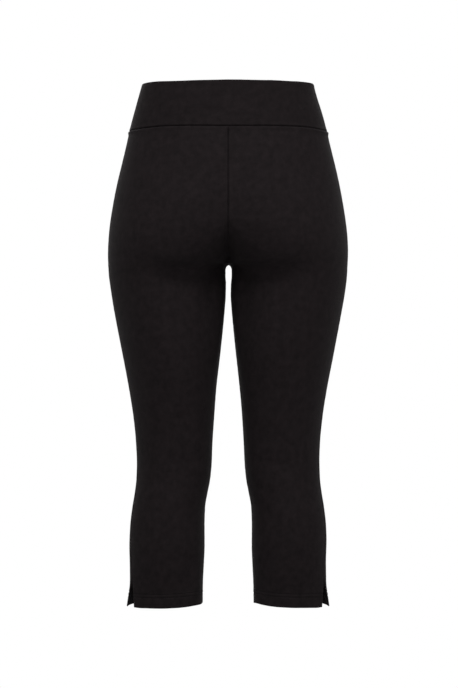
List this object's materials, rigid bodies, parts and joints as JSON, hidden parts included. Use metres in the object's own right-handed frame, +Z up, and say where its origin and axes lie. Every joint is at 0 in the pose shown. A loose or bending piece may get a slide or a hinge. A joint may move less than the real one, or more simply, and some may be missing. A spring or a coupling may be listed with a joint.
{
  "type": "sports leggings",
  "caption": "Three-quarter-length pull-on sports leggings in black stretch knit, hollow as worn, with a wide plain waistband and a small slit at the outer side of each hem.",
  "frame": {"origin": "centre of the waist opening, level with the waistband's top edge at the side seams, where the wearer's waist holds the garment", "axes": "+Z up the body, +Y towards the wearer's front, +X towards the wearer's right"},
  "size_m": [0.3592, 0.2359, 0.7806],
  "materials": {
    "jersey": "matt black stretch jersey"
  },
  "bodies": {
    "root": {"waistband_back": "jersey", "waistband_front": "jersey", "back_left": "jersey", "back_right": "jersey", "front_left": "jersey", "front_right": "jersey"}
  },
  "joints": []
}
